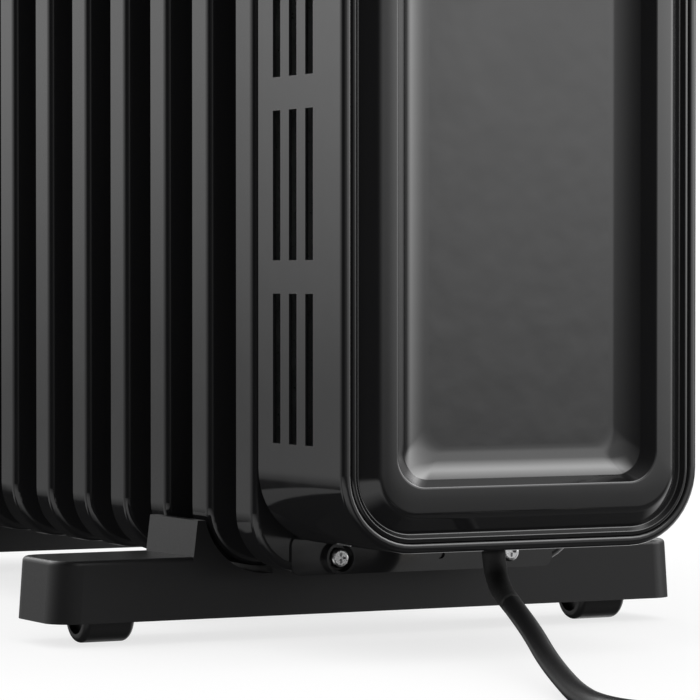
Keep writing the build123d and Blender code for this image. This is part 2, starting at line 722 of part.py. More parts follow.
def make_foot(y, bolt_y):
    """A moulded foot: the bar, hollow below, with roller pockets and support pads."""
    y0 = y - FOOT_DEPTH / 2
    y1 = y + FOOT_DEPTH / 2
    pocket_half = ROLLER_LENGTH / 2 + ROLLER_SIDE_GAP
    pocket_y = ROLLER_RADIUS + ROLLER_POCKET_GAP
    pocket_top = 2 * ROLLER_RADIUS + ROLLER_POCKET_GAP
    axle_half = pocket_half + RIB
    snap_half = SNAP_WIDTH / 2
    hollow = ROLLER_X - axle_half
    foot = foot_bar(y)
    foot -= block(-hollow, hollow, y0 + FOOT_WALL, y1 - FOOT_WALL, FOOT_BOTTOM, DECK_BOTTOM)
    for side in (-1, 1):
        x = side * ROLLER_X
        foot -= block(
            x - pocket_half, x + pocket_half, y - pocket_y, y + pocket_y, FOOT_BOTTOM, pocket_top
        )
        foot -= rod_x(x - axle_half, x + axle_half, y, ROLLER_RADIUS, AXLE_RADIUS)
        foot -= block(
            x - axle_half, x + axle_half, y - snap_half, y + snap_half, FOOT_BOTTOM, ROLLER_RADIUS
        )
        pad_x = side * PAD_X
        foot += block(
            pad_x - PAD_WIDTH / 2, pad_x + PAD_WIDTH / 2, y0, y1, DECK_BOTTOM, FIN_BOTTOM
        )
        foot -= rod_z(side * BOLT_ARC, bolt_y, DECK_BOTTOM, CRADLE_FLOOR, BOLT_HOLE)
    return foot


def make_axles(y):
    """The two steel pins that a foot's rollers turn on."""
    half = ROLLER_LENGTH / 2 + ROLLER_SIDE_GAP + RIB
    pins = [
        rod_x(x - half, x + half, y, ROLLER_RADIUS, AXLE_RADIUS) for x in (-ROLLER_X, ROLLER_X)
    ]
    return Compound(pins)


def make_roller(x, y):
    """A roller with rounded edges and dished ends, bored as a running fit for its pin."""
    x0 = x - ROLLER_LENGTH / 2
    x1 = x + ROLLER_LENGTH / 2
    roller = rod_x(x0, x1, y, ROLLER_RADIUS, ROLLER_RADIUS)
    roller = fillet(roller.edges().filter_by(GeomType.CIRCLE), ROLLER_ROUND)
    dish = ROLLER_RADIUS - ROLLER_ROUND - ROLLER_RIM / 2
    hub = AXLE_RADIUS + ROLLER_RIM
    for start, end in ((x0, x0 + ROLLER_DISH), (x1 - ROLLER_DISH, x1)):
        roller -= rod_x(start, end, y, ROLLER_RADIUS, dish) - rod_x(start, end, y, ROLLER_RADIUS, hub)
    return roller - rod_x(x0, x1, y, ROLLER_RADIUS, AXLE_RADIUS + AXLE_FIT)


def make_u_bolt(y):
    """A rod bent over the bottom hub, with legs down through the foot."""
    over = CenterArc((0, 0, 0), BOLT_ARC, 0, 180)
    start = Plane(origin=(BOLT_ARC, 0, 0), z_dir=(0, 1, 0)) * Circle(BOLT_RADIUS)
    arch = Pos(0, y, HUB_LOW) * Rot(90, 0, 0) * sweep(start, path=over)
    legs = [rod_z(side * BOLT_ARC, y, BOLT_END, HUB_LOW, BOLT_RADIUS) for side in (-1, 1)]
    return legs[0] + arch + legs[1]


def make_wing_nuts(y):
    """The two wing nuts under a foot's deck, on the legs of its U-bolt."""
    bottom = DECK_BOTTOM - NUT_HEIGHT
    nuts = []
    for side in (-1, 1):
        x = side * BOLT_ARC
        nut = rod_z(x, y, bottom, DECK_BOTTOM, NUT_RADIUS)
        nut += block(
            x - NUT_RADIUS - WING_LENGTH / 2,
            x + NUT_RADIUS + WING_LENGTH / 2,
            y - WING_SHEET / 2,
            y + WING_SHEET / 2,
            bottom - WING_DROP,
            DECK_BOTTOM - WING_DROP,
        )
        nuts.append(nut - rod_z(x, y, bottom - WING_DROP, DECK_BOTTOM, BOLT_RADIUS))
    return Compound(nuts)


def on_shield(x, z, size):
    """A box of this size standing on the front of the heat shield."""
    width, depth, height = size
    return block(
        x - width / 2, x + width / 2, SHIELD_FRONT - depth, SHIELD_FRONT, z - height / 2, z + height / 2
    )


def make_cutout():
    """The thermal cut-out, a button on the heat shield above the element."""
    return rod_y(0, SHIELD_FRONT - CUTOUT_LENGTH, SHIELD_FRONT, CUTOUT_Z, CUTOUT_RADIUS)


def make_clamp():
    """The cord clamp on the bracket's ledge, closed round the cord's tail."""
    width, depth, height = CLAMP_SIZE
    clamp = block(
        GLAND_X - width / 2,
        GLAND_X + width / 2,
        GLAND_Y - depth / 2,
        GLAND_Y + depth / 2,
        LEDGE_TOP,
        LEDGE_TOP + height,
    )
    clamp -= rod_z(GLAND_X, GLAND_Y, LEDGE_TOP, LEDGE_TOP + GLAND_RISE, GLAND_NECK)
    return clamp - rod_z(GLAND_X, GLAND_Y, LEDGE_TOP, LEDGE_TOP + height, CORD_RADIUS)


def make_gland():
    """The rubber gland that the cord leaves the cover through."""
    low = COVER_BOTTOM - GLAND_DROP
    high = LEDGE_TOP + GLAND_RISE
    flange = rod_z(GLAND_X, GLAND_Y, low, COVER_BOTTOM, GLAND_FLANGE)
    neck = rod_z(GLAND_X, GLAND_Y, COVER_BOTTOM, high, GLAND_NECK)
    return flange + neck - rod_z(GLAND_X, GLAND_Y, low, high, CORD_RADIUS)


def make_harness():
    """The cord's tail inside the cover, parted into three wires up to the terminals."""
    top = LEDGE_TOP + CLAMP_SIZE[2]
    terminal_bottom = TERMINAL_Z - TERMINAL_SIZE[2] / 2
    terminal_y = SHIELD_FRONT - TERMINAL_SIZE[1] / 2
    harness = rod_z(GLAND_X, GLAND_Y, COVER_BOTTOM - GLAND_DROP, top + CORD_RADIUS, CORD_RADIUS)
    for place in (-1, 0, 1):
        x = GLAND_X + place * WIRE_ROOT
        route = Polyline(
            (x, GLAND_Y, top),
            (x, GLAND_Y, top + 2 * CORD_RADIUS),
            (place * WIRE_SPREAD, terminal_y, terminal_bottom - CORD_RADIUS),
            (place * WIRE_SPREAD, terminal_y, terminal_bottom),
        )
        start = Plane(origin=route @ 0, z_dir=route % 0) * Circle(WIRE_RADIUS)
        harness += sweep(start, path=route, transition=Transition.ROUND)
    return harness


def cord_radii(route):
    """The radius at each bend: as large as its two runs allow."""
    points = [Vector(*point) for point in route]
    radii = []
    for before, here, after in zip(points, points[1:], points[2:]):
        turn = math.radians((here - before).get_angle(after - here))
        shorter = min((here - before).length, (after - here).length)
        radii.append(ARC_SHARE * shorter / math.tan(turn / 2))
    return radii


def make_cord():
    """The cord from the gland over the floor to the coil."""
    radii = cord_radii(CORD_ROUTE)
    print("cord radii", [round(radius, 1) for radius in radii])
    path = FilletPolyline(*CORD_ROUTE, radius=radii)
    start = Plane(origin=path @ 0, z_dir=path % 0) * Circle(CORD_RADIUS)
    cord = sweep(start, path=path)
    section = math.pi * CORD_RADIUS**2
    print("cord length", round(path.length, 1), "volume share", cord.volume / (section * path.length))
    return cord


def make_coil():
    """The outer shape of the coiled cord, with a lead in and a lead out along X."""
    top = TIE_SHEET + COIL_HEIGHT
    coil = rod_z(COIL_X, COIL_Y, TIE_SHEET, top, COIL_OUTER)
    coil -= rod_z(COIL_X, COIL_Y, TIE_SHEET, top, COIL_OUTER - COIL_BUNDLE)
    return coil + rod_x(COIL_X - LEAD_IN, COIL_X + LEAD_OUT, LEAD_Y, CORD_FLOOR, CORD_RADIUS)


def make_tie():
    """The strap round the coil, on the side away from its leads."""
    half = COIL_BUNDLE / 2
    x = COIL_X + COIL_OUTER - half
    top = TIE_SHEET + COIL_HEIGHT
    y0 = COIL_Y - TIE_WIDTH / 2
    y1 = COIL_Y + TIE_WIDTH / 2
    strap = block(x - half - TIE_SHEET, x + half + TIE_SHEET, y0, y1, 0, top + TIE_SHEET)
    strap -= block(x - half, x + half, y0, y1, TIE_SHEET, top)
    return strap - make_coil()


def plug_face(x, width, height, middle, corner):
    """A rounded rectangle across the plug at this X."""
    plane = Plane(origin=(x, LEAD_Y, middle), x_dir=(0, 1, 0), z_dir=(1, 0, 0))
    return plane * RectangleRounded(width, height, corner)


def make_plug_body():
    """The moulded plug past the coil's lead out: a tapered neck and a flat body."""
    start = COIL_X + LEAD_OUT
    shoulder = start + PLUG_NECK_LENGTH
    small = plug_face(start, PLUG_NECK_WIDTH, 2 * CORD_FLOOR, CORD_FLOOR, PLUG_NECK_CORNER)
    large = plug_face(shoulder, PLUG_WIDTH, PLUG_HEIGHT, PLUG_HEIGHT / 2, PLUG_CORNER)
    body = loft([small, large], ruled=True) + extrude(large, amount=PLUG_LENGTH)
    face = shoulder + PLUG_LENGTH
    for y in pin_places():
        body -= rod_x(face - PIN_ROOT, face, y, PLUG_HEIGHT / 2, PIN_ROOT_RADIUS)
    return body


def pin_places():
    """Where the plug's two pins stand, across its face."""
    return [LEAD_Y + side * PIN_SPACING / 2 for side in (-1, 1)]


def make_plug_pins():
    """The two round contact pins, each with a narrower root set in the plug's face."""
    face = COIL_X + LEAD_OUT + PLUG_NECK_LENGTH + PLUG_LENGTH
    pins = []
    for y in pin_places():
        pin = rod_x(face, face + PIN_LENGTH, y, PLUG_HEIGHT / 2, PIN_RADIUS)
        tip = [e for e in pin.edges() if e.bounding_box().min.X > face + PIN_LENGTH - CLOSE]
        root = rod_x(face - PIN_ROOT, face, y, PLUG_HEIGHT / 2, PIN_ROOT_RADIUS)
        pins.append(fillet(tip, PIN_RADIUS / 2) + root)
    return Compound(pins)


CORD_PARTS = {
    "power_cord": make_cord(),
    "cord_coil": make_coil(),
    "cord_tie": make_tie(),
    "plug_body": make_plug_body(),
    "plug_pins": make_plug_pins(),
}

HEATER_PARTS = {
    "fin_01": make_first_fin(),
    "hub_collars_bottom": make_collars(HUB_LOW),
    "hub_collars_top": make_collars(HUB_HIGH),
    "hub_cap_bottom": make_rear_cap(HUB_LOW),
    "hub_cap_top": make_rear_cap(HUB_HIGH),
    "oil_filler_plug": make_top_plug(),
    "heating_element": make_element(),
    "element_flange": make_element_flange(),
    "element_gasket": make_gasket(),
    "heat_shield": make_heat_shield(),
    "control_housing": make_housing(),
    "face_panel": make_face_panel(),
    "control_plate": make_control_plate(),
    "pilot_lens": make_lens(),
    "thermostat_knob": make_knob(THERMOSTAT_Z),
    "thermostat_shaft": make_shaft(THERMOSTAT_Z),
    "thermostat_body": make_switch(THERMOSTAT_Z),
    "selector_knob": make_knob(SELECTOR_Z),
    "selector_shaft": make_shaft(SELECTOR_Z),
    "selector_switch": make_switch(SELECTOR_Z),
    "thermal_cutout": make_cutout(),
    "tilt_switch": on_shield(TILT_X, TILT_Z, TILT_SIZE),
    "terminal_block": on_shield(0, TERMINAL_Z, TERMINAL_SIZE),
    "wire_harness": make_harness(),
    "cord_clamp": make_clamp(),
    "cord_gland": make_gland(),
    "carry_handle": make_handle(),
    "handle_screws": make_handle_screws(),
    "base_bracket": make_bracket(),
    "bracket_screw_left": make_bracket_screw(-BRACKET_SCREW_X),
    "bracket_screw_right": make_bracket_screw(BRACKET_SCREW_X),
    "foot_front": make_foot(FOOT_Y, BOLT_Y),
    "foot_rear": make_foot(FOOT_REAR_Y, BOLT_REAR_Y),
    "u_bolt_front": make_u_bolt(BOLT_Y),
    "u_bolt_rear": make_u_bolt(BOLT_REAR_Y),
    "wing_nuts_front": make_wing_nuts(BOLT_Y),
    "wing_nuts_rear": make_wing_nuts(BOLT_REAR_Y),
    "axles_front": make_axles(FOOT_Y),
    "axles_rear": make_axles(FOOT_REAR_Y),
    "roller_front_left": make_roller(-ROLLER_X, FOOT_Y),
    "roller_front_right": make_roller(ROLLER_X, FOOT_Y),
    "roller_rear_left": make_roller(-ROLLER_X, FOOT_REAR_Y),
    "roller_rear_right": make_roller(ROLLER_X, FOOT_REAR_Y),
}
for number in range(2, FIN_COUNT + 1):
    HEATER_PARTS[f"fin_{number:02d}"] = make_fin(FIN_FIRST_Y + (number - 1) * FIN_PITCH)

boxes = [part.bounding_box() for part in HEATER_PARTS.values()]
middle = (min(box.min.Y for box in boxes) + max(box.max.Y for box in boxes)) / 2
print("the cover's face seam is at Y", round(-middle, 3))
os.makedirs("parts", exist_ok=True)
for name, part in {**HEATER_PARTS, **CORD_PARTS}.items():
    export_step(Pos(0, -middle, 0) * part, f"parts/{name}.step")
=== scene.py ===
import json
import math
import bmesh
import bpy
from mathutils import Matrix, Vector


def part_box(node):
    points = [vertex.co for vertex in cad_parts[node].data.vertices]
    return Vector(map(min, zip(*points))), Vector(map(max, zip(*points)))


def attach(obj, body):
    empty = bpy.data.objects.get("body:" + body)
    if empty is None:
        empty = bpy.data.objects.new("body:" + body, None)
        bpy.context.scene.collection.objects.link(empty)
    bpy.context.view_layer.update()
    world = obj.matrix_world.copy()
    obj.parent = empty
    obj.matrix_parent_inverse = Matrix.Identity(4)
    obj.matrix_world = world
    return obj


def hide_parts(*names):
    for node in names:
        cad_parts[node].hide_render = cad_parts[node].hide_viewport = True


# Looks of an oil filled radiator heater. Lengths are in metres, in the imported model's
# frame: X across the fins, Y from the control cover to the far end, Z up.

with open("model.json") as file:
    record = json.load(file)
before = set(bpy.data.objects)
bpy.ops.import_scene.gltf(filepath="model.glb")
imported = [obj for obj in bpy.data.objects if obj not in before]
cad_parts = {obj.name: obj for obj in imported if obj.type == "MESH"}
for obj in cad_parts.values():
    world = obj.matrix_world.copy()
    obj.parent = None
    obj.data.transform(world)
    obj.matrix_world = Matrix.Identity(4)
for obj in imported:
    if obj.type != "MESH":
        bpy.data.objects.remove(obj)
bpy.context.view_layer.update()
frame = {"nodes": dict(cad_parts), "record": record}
NODES = frame["nodes"]

# The seam of the cover's face, behind its rolled rim, from which the route of the cord
# is measured
RIM_PROUD = 0.001
SEAM_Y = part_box("control_housing")[0].y + RIM_PROUD

# Camera: its place, its level line of sight and how far that dips
EYE = (-0.7323, SEAM_Y - 1.2578, 0.1465)
SIGHT = (0.4633, 0.8862)
SIGHT_DROP = math.tan(math.radians(1.1))
LENS_MM = 195.43
SENSOR_MM = 36.0

# Cord: its coil's centre, the radius of its outer turn and how a turn winds and climbs,
# then its route from the gland to the coil and from the coil to the plug
CORD_RADIUS = 0.004
CORD_FLOOR = 0.0041
COIL_X = 0.050
COIL_Y = -0.195
COIL_TURN = 0.048
TURN_STEP = 0.008
TURN_POINTS = 16
TURNS = 4
LAYER_RISE = 0.0081
CLIMB_TURNS = 0.25
TIE_LIFT = 0.0017
TIE_REACH = 0.35
CORD_ROUTE = (
    (0.0075, 0.0360, 0.0400),
    (0.0081, 0.0360, 0.0330),
    (0.0069, 0.0308, 0.0266),
    (0.0012, 0.0165, 0.0236),
    (-0.0080, -0.0100, 0.0192),
    (-0.0200, -0.0420, 0.0142),
    (-0.0358, -0.0790, 0.0090),
    (-0.0515, -0.1180, 0.0052),
    (-0.0660, -0.1520, 0.0041),
    (-0.0772, -0.1860, 0.0041),
    (-0.0728, -0.2103, 0.0041),
    (-0.0587, -0.2304, 0.0041),
    (-0.0370, -0.2417, 0.0041),
    (-0.0145, -0.2430, 0.0041),
    (0.0080, -0.2430, 0.0041),
)
LEAD_OUT = (
    (0.0660, -0.2430, 0.0122),
    (0.0780, -0.2430, 0.0108),
    (0.0920, -0.2430, 0.0055),
    (0.1020, -0.2430, 0.0041),
    (0.1100, -0.2430, 0.0041),
)

# Sleeve that keeps the cord straight at its gland: the radii at its ends, how many points
# of the cord's line it covers, and a direction that it nowhere points in
RELIEF_RADII = (0.0047, 0.00402)
RELIEF_POINTS = 20
ASIDE = Vector((0.0, 1.0, 0.3))

# Dials: each one's knob, the body that it turns with and how many marks it has, then how
# proud the ink stands, and the ticks, the digits and the line on the knob
DIALS = (("thermostat_knob", "thermostat_dial", 7), ("selector_knob", "selector_dial", 4))
DIAL_STEP = math.radians(45.0)
INK = 0.00012
TICK_REACH = (0.0229, 0.0247)
TICK_WIDTH = 0.0007
DIGIT_REACH = 0.0275
DIGIT_SIZE = 0.0048
LINE_REACH = (0.0085, 0.0180)
LINE_WIDTH = 0.0013

# Pressed face of the cover, in millimetres: its outline, then its section from the rim to
# the recess's floor, as points of inset from the outline on the sides, inset on the ends,
# depth behind the seam and the radius that rounds the section there
MM = 0.001
FACE_HALF_WIDTH = 78.5
FACE_LOW = 42.0
FACE_HIGH = 610.0
FACE_CORNER = 30.0
FACE_SHEET = 1.2
MOUTH_CORNER = 12.0
FLOOR_CORNER = 9.0
FACE_SECTION = (
    (4.05, 4.05, 2.4, 0.0),
    (4.05, 4.05, -0.9, 1.5),
    (5.8, 5.8, -0.9, 0.5),
    (7.5, 7.5, 0.7, 0.6),
    (14.0, 14.0, -4.7, 3.6),
    (21.4, 25.2, -4.9, 1.3),
    (26.2, 27.9, -0.7, 2.0),
    (31.8, 33.6, 2.6, 20.0),
    (38.8, 40.5, 2.6, 0.0),
)
RING_INSET = FACE_SECTION[4][0]
MOUTH_INSET = FACE_SECTION[5][0]
FLOOR_INSET = FACE_SECTION[7][0]

# Textures: how many cells a metre each noise has
HAZE_SCALE = 9.0
PEEL_SCALE = 620.0
WAVE_SCALE = 75.0
RUB_SCALE = 40.0
FLOW_SCALE = 22.0
CLOUD_SCALE = 60.0
LENS_SCALE = 900.0
INK_SCALE = 1500.0
FLOOR_SCALE = 3.0

# Heights of relief: the paint's slow wave against its fine peel, and the metal's grain
WAVE_TO_PEEL = 12.0
METAL_GRAIN_HEIGHT = 0.000004

# The part of a noise's range over which roughness goes from its low to its high value
GRAIN_LOW = 0.3
GRAIN_HIGH = 0.7

# Studio: each soft box is the product of steps in light. A step has the measure that it
# goes along, where it starts and ends, and the light at its start and end. Of a level
# direction, side is how far it points the way that the cover's left wall mirrors the line
# of sight, right is how far it points across the view, and off_centre is right without
# its sign. Height is z, and above_edge is the height above the side box's lower edge.
OVERHEAD = (
    ("z", 0.30, 0.55, 0.0, 5.2),
    ("z", 0.60, 0.74, 1.0, 0.02),
    ("right", -0.45, -0.12, 0.0, 1.0),
)
SIDE_BOX = (
    ("side", 0.2, 0.8, 0.0, 1.8),
    ("above_edge", -0.035, 0.035, 0.03, 1.0),
    ("z", -0.03, 0.07, 0.36, 1.0),
    ("z", -0.30, -0.08, 1.25, 1.0),
    ("right", 0.0, 0.03, 0.76, 0.56),
)
SIDE_BOX_EDGE = (-0.045, -0.005, -0.38, -0.15)
FRONT_BOX = (
    ("side", -0.6, -0.2, 1.0, 0.0),
    ("z", -0.085, 0.07, 0.20, 1.0),
    ("z", -0.16, -0.11, 0.25, 1.0),
    ("right", 0.66, 0.82, 1.0, 0.1),
)
FRONT_BOX_STEPS = (
    ("right", -0.85, -0.05, 0.1, 1.1),
    ("right", -0.05, 0.01, 0.0, 1.5),
    ("right", 0.08, 0.6, 0.0, 2.4),
)
RIGHT_BOX = (("right", 0.85, 0.97, 0.0, 0.3), ("z", -0.2, 0.0, 0.0, 1.0))
LOW_FILL = (
    ("off_centre", 0.38, 0.75, 0.0, 1.4),
    ("z", -0.75, -0.45, 0.0, 1.0),
    ("z", -0.20, -0.12, 1.0, 0.0),
    ("side", 0.40, 0.55, 1.0, 0.0),
    ("right", -0.1, 0.1, 0.65, 1.0),
)
DAYLIGHT = 1.12

# Floor: half its width, and the light that it gives off
FLOOR_REACH = 12.0
FLOOR_GLOW = 0.74


# ---------------------------------------------------------------- shader helpers

def new_material(name):
    """A material with its node tree, principled shader and object coordinates."""
    material = bpy.data.materials.new(name)
    material.use_nodes = True
    tree = material.node_tree
    shader = tree.nodes["Principled BSDF"]
    place = tree.nodes.new("ShaderNodeTexCoord").outputs["Object"]
    return material, tree, shader, place


def noise(tree, place, scale, detail=2.0, roughness=0.5):
    """A noise pattern of this many cells a metre."""
    node = tree.nodes.new("ShaderNodeTexNoise")
    node.inputs["Scale"].default_value = scale
    node.inputs["Detail"].default_value = detail
    node.inputs["Roughness"].default_value = roughness
    tree.links.new(place, node.inputs["Vector"])
    return node.outputs["Fac"]


def span(tree, value, low, high, out_low, out_high):
    """Value from low to high, mapped to out_low to out_high and held there outside."""
    node = tree.nodes.new("ShaderNodeMapRange")
    node.inputs["From Min"].default_value = low
    node.inputs["From Max"].default_value = high
    node.inputs["To Min"].default_value = out_low
    node.inputs["To Max"].default_value = out_high
    tree.links.new(value, node.inputs["Value"])
    return node.outputs["Result"]


def combine(tree, operation, first, second):
    """One math node on two values, either of which may be a number."""
    node = tree.nodes.new("ShaderNodeMath")
    node.operation = operation
    for socket, value in zip(node.inputs, (first, second)):
        if isinstance(value, (int, float)):
            socket.default_value = value
        else:
            tree.links.new(value, socket)
    return node.outputs["Value"]


def tint(tree, value, dark, light):
    """A colour that goes from dark to light with value."""
    node = tree.nodes.new("ShaderNodeMix")
    node.data_type = "RGBA"
    node.inputs["A"].default_value = (*dark, 1.0)
    node.inputs["B"].default_value = (*light, 1.0)
    tree.links.new(value, node.inputs["Factor"])
    return node.outputs["Result"]


def bump(tree, height, distance, normal=None):
    """A bump of this height in metres, on top of another bump if one is given."""
    node = tree.nodes.new("ShaderNodeBump")
    node.inputs["Strength"].default_value = 1.0
    node.inputs["Distance"].default_value = distance
    tree.links.new(height, node.inputs["Height"])
    if normal is not None:
        tree.links.new(normal, node.inputs["Normal"])
    return node.outputs["Normal"]


# ---------------------------------------------------------------- materials

def gloss_paint(name, rough_low, rough_high, peel):
    """Stoved gloss black paint: fine orange peel, a slow unevenness and faint haze."""
    material, tree, shader, place = new_material(name)
    haze = noise(tree, place, HAZE_SCALE, 3.0)
    grain = noise(tree, place, PEEL_SCALE, 2.0)
    wave = noise(tree, place, WAVE_SCALE, 1.0)
    colour = tint(tree, haze, (0.0052, 0.0052, 0.0055), (0.0072, 0.0072, 0.0075))
    tree.links.new(colour, shader.inputs["Base Color"])
    rubbed = noise(tree, place, RUB_SCALE, 4.0)
    rough = span(tree, rubbed, GRAIN_LOW, GRAIN_HIGH, rough_low, rough_high)
    tree.links.new(rough, shader.inputs["Roughness"])
    normal = bump(tree, wave, WAVE_TO_PEEL * peel)
    normal = bump(tree, grain, peel, normal)
    tree.links.new(normal, shader.inputs["Normal"])
    shader.inputs["IOR"].default_value = 1.52
    return material


def moulded_plastic(name, dark, light, rough_low, rough_high, grain_scale, grain_height):
    """Moulded plastic or rubber with a fine spark-eroded grain and a slight flow mark."""
    material, tree, shader, place = new_material(name)
    flow = noise(tree, place, FLOW_SCALE, 3.0)
    grain = noise(tree, place, grain_scale, 3.0, 0.6)
    tree.links.new(tint(tree, flow, dark, light), shader.inputs["Base Color"])
    rough = span(tree, grain, GRAIN_LOW, GRAIN_HIGH, rough_low, rough_high)
    tree.links.new(rough, shader.inputs["Roughness"])
    tree.links.new(bump(tree, grain, grain_height), shader.inputs["Normal"])
    shader.inputs["IOR"].default_value = 1.33
    return material


def plated_metal(name, dark, light, rough_low, rough_high, grain_scale):
    """Plated steel or brass with cloudy plating and fine scratches."""
    material, tree, shader, place = new_material(name)
    cloud = noise(tree, place, CLOUD_SCALE, 4.0)
    grain = noise(tree, place, grain_scale, 4.0, 0.7)
    tree.links.new(tint(tree, cloud, dark, light), shader.inputs["Base Color"])
    rough = span(tree, grain, GRAIN_LOW, GRAIN_HIGH, rough_low, rough_high)
    tree.links.new(rough, shader.inputs["Roughness"])
    tree.links.new(bump(tree, grain, METAL_GRAIN_HEIGHT), shader.inputs["Normal"])
    shader.inputs["Metallic"].default_value = 1.0
    return material


def lens_plastic():
    """Clear red plastic of the pilot lamp, with a moulded grain behind its face."""
    material, tree, shader, place = new_material("lens")
    grain = noise(tree, place, LENS_SCALE, 2.0)
    colour = tint(tree, grain, (0.42, 0.01, 0.008), (0.66, 0.03, 0.02))
    tree.links.new(colour, shader.inputs["Base Color"])
    rough = span(tree, grain, GRAIN_LOW, GRAIN_HIGH, 0.08, 0.16)
    tree.links.new(rough, shader.inputs["Roughness"])
    shader.inputs["Transmission Weight"].default_value = 0.35
    return material


def mark_paint():
    """The pale ink of the dial marks, slightly uneven."""
    material, tree, shader, place = new_material("mark_paint")
    grain = noise(tree, place, INK_SCALE, 3.0)
    colour = tint(tree, grain, (0.55, 0.55, 0.54), (0.70, 0.70, 0.69))
    tree.links.new(colour, shader.inputs["Base Color"])
    rough = span(tree, grain, GRAIN_LOW, GRAIN_HIGH, 0.45, 0.65)
    tree.links.new(rough, shader.inputs["Roughness"])
    return material


MATERIALS = {
    "fin_paint": gloss_paint("fin_paint", 0.09, 0.14, 0.0000010),
    "cover_paint": gloss_paint("cover_paint", 0.07, 0.11, 0.0000010),
    "recess_paint": gloss_paint("recess_paint", 0.10, 0.14, 0.0000060),
    "zinc_steel": plated_metal(
        "zinc_steel", (0.46, 0.47, 0.49), (0.62, 0.62, 0.60), 0.25, 0.42, 700.0
    ),
    "chrome_screw": plated_metal(
        "chrome_screw", (0.40, 0.40, 0.41), (0.62, 0.62, 0.62), 0.16, 0.30, 900.0
    ),
    "element_sheath": plated_metal(
        "element_sheath", (0.22, 0.17, 0.13), (0.42, 0.37, 0.32), 0.35, 0.5, 400.0
    ),
    "satin_plastic": moulded_plastic(
        "satin_plastic", (0.0032, 0.0032, 0.0034), (0.0050, 0.0050, 0.0053),
        0.36, 0.46, 1400.0, 0.000008,
    ),
    "knob_plastic": moulded_plastic(
        "knob_plastic", (0.012, 0.012, 0.0125), (0.016, 0.016, 0.0165), 0.22, 0.32, 1600.0, 0.000004
    ),
    "switch_plastic": moulded_plastic(
        "switch_plastic", (0.50, 0.48, 0.42), (0.60, 0.58, 0.52), 0.40, 0.52, 1200.0, 0.00001
    ),
    "roller_plastic": moulded_plastic(
        "roller_plastic", (0.006, 0.006, 0.0062), (0.009, 0.009, 0.0093),
        0.28, 0.38, 1300.0, 0.000006,
    ),
    "cord_rubber": moulded_plastic(
        "cord_rubber", (0.006, 0.006, 0.0063), (0.009, 0.009, 0.0093), 0.34, 0.44, 1500.0, 0.00001
    ),
    "dark_rubber": moulded_plastic(
        "dark_rubber", (0.009, 0.009, 0.009), (0.014, 0.014, 0.014), 0.5, 0.65, 1100.0, 0.000015
    ),
    "lens": lens_plastic(),
    "pin_metal": plated_metal(
        "pin_metal", (0.62, 0.58, 0.50), (0.78, 0.74, 0.66), 0.18, 0.30, 800.0
    ),
    "mark_paint": mark_paint(),
}


def paint_nodes():
    """Every CAD node gets the material of its slot in the record."""
    for part in frame["record"]["subparts"]:
        node = NODES[part["node"]]
        node.data.materials.clear()
        node.data.materials.append(MATERIALS[part["material_slot"]])


# ---------------------------------------------------------------- pieces

def own_piece(name, data, slot, body):
    """Puts a new mesh or curve in the scene, with the material of its slot, on a body."""
    piece = bpy.data.objects.new(name, data)
    bpy.context.collection.objects.link(piece)
    data.materials.append(MATERIALS[slot])
    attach(piece, body)
    return piece


def round_section(section, steps=7):
    """The section with each of its corners replaced by an arc of the corner's radius.
    Corners turn in the plane of side inset and depth; the end inset goes along."""
    points = [section[0][:3]]
    for before, here, after in zip(section, section[1:], section[2:]):
        corner = Vector((here[0], here[2]))
        back = Vector((before[0], before[2])) - corner
        ahead = Vector((after[0], after[2])) - corner
        reach = here[3] / math.tan(back.angle(ahead) / 2)
        start = reach / back.length
        end = reach / ahead.length
        for step in range(steps + 1):
            share = step / steps
            to_back = (1 - share) ** 2 * start
            to_ahead = share**2 * end
            point = []
            for previous, value, following in zip(before[:3], here[:3], after[:3]):
                move = to_back * (previous - value) + to_ahead * (following - value)
                point.append(value + move)
            points.append(tuple(point))
    points.append(section[-1][:3])
    return points


def outline_corner(inset):
    """The outline's corner radius at a place on the section, by its inset on the sides."""
    if inset < RING_INSET:
        return FACE_CORNER - inset
    if inset < MOUTH_INSET:
        share = (inset - RING_INSET) / (MOUTH_INSET - RING_INSET)
        return (FACE_CORNER - RING_INSET) * (1 - share) + MOUTH_CORNER * share
    share = min((inset - MOUTH_INSET) / (FLOOR_INSET - MOUTH_INSET), 1.0)
    return MOUTH_CORNER * (1 - share) + FLOOR_CORNER * share


def rounded_loop(made, side, end, depth, corner, steps=20):
    """One closed ring of vertices round a rounded rectangle."""
    half = FACE_HALF_WIDTH - side
    low = FACE_LOW + end
    high = FACE_HIGH - end
    centres = ((half - corner, low + corner), (half - corner, high - corner))
    centres += ((corner - half, high - corner), (corner - half, low + corner))
    ring = []
    for quarter, (x, z) in enumerate(centres):
        for step in range(steps + 1):
            angle = math.pi / 2 * (quarter - 1 + step / steps)
            place = (x + corner * math.cos(angle), depth, z + corner * math.sin(angle))
            ring.append(made.verts.new((place[0] * MM, SEAM_Y + place[1] * MM, place[2] * MM)))
    return ring


def bridge(made, first, second):
    """A band of faces between two rings of the same count."""
    count = len(first)
    for step in range(count):
        after = (step + 1) % count
        made.faces.new((first[step], first[after], second[after], second[step]))


